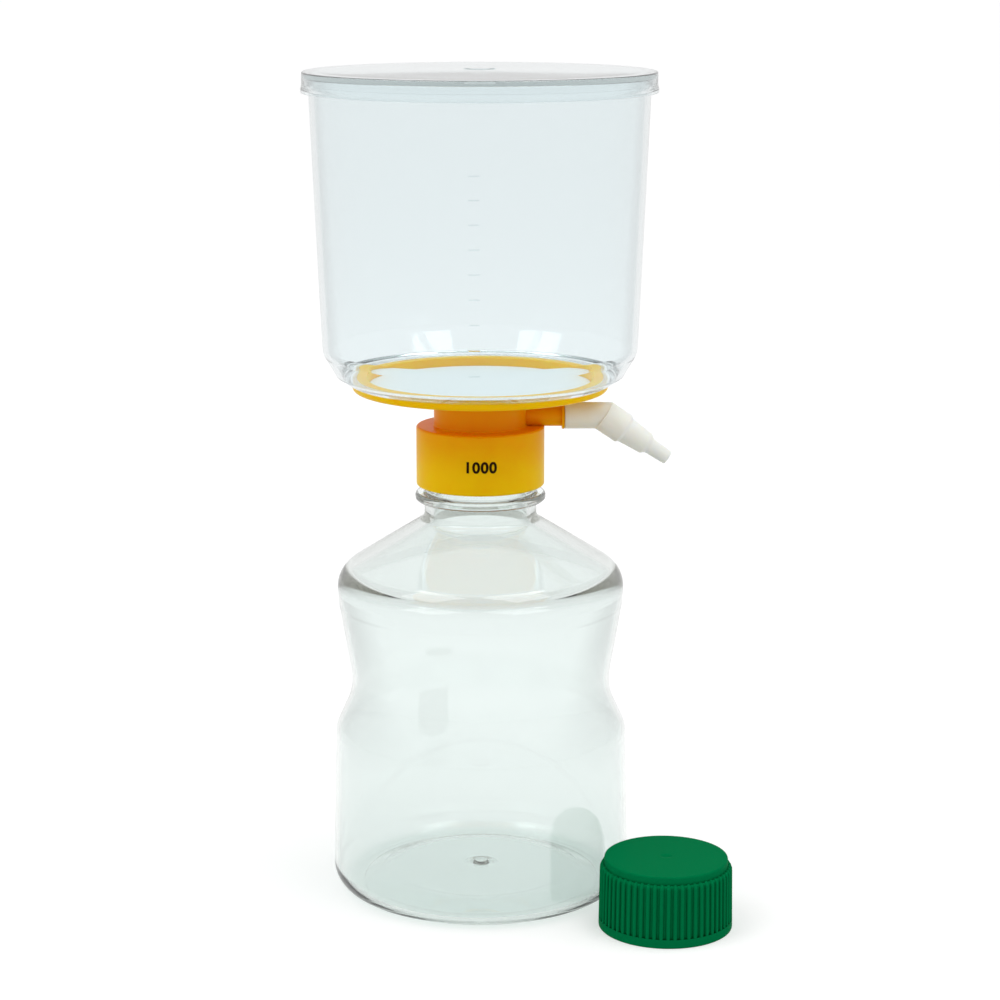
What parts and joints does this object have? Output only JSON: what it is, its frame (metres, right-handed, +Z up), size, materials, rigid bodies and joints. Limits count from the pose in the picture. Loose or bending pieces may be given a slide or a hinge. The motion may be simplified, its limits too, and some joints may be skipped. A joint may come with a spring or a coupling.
{
  "type": "vacuum filtration unit",
  "caption": "Clear lidded funnel on a yellow screw-on filter base with a vacuum arm, over a clear waisted receiver bottle, with its green storage cap beside it.",
  "frame": {"origin": "on the bench, under the middle of the receiver bottle", "axes": "+Z up along the bottle's axis; +X along the vacuum arm; the open front, towards which the green cap stands, is -Y"},
  "size_m": [0.1621, 0.1425, 0.3187],
  "materials": {
    "clear_bottle": "clear, glossy",
    "soft_seal": "matt silicone",
    "yellow_plastic": "moulded, slightly glossy",
    "filter_membrane": "matt white",
    "cotton": "loose fibre",
    "clear_funnel": "clear, glossy",
    "natural_plastic": "natural, translucent, satin",
    "green_plastic": "moulded, satin"
  },
  "bodies": {
    "receiver": {"receiver_bottle": "clear_bottle", "storage_cap": "green_plastic"},
    "gasket": {"neck_gasket": "soft_seal"},
    "filter_head": {"filter_base": "yellow_plastic", "membrane": "filter_membrane", "port_plug": "cotton", "funnel": "clear_funnel"},
    "lid": {"lid": "clear_funnel"},
    "adapter": {"hose_adapter": "natural_plastic"}
  },
  "joints": [
    {"name": "head_lift", "type": "slide", "parent": "receiver", "child": "gasket", "axis": [0, 0, 1], "range_m": [0, 0.008]},
    {"name": "head_turn", "type": "hinge", "parent": "gasket", "child": "filter_head", "pos_m": [0, 0, 0.181], "axis": [0, 0, 1], "range_deg": [0, 720]},
    {"name": "lid_lift", "type": "slide", "parent": "filter_head", "child": "lid", "axis": [0, 0, 1], "range_m": [0, 0.03]},
    {"name": "adapter_swivel", "type": "hinge", "parent": "filter_head", "child": "adapter", "pos_m": [0.0323, 0, 0.1871], "axis": [1, 0, 0], "continuous": true}
  ],
  "couplings": [
    {"joint": "head_lift", "follows": "head_turn", "m_per_rad": 0.0006366}
  ]
}
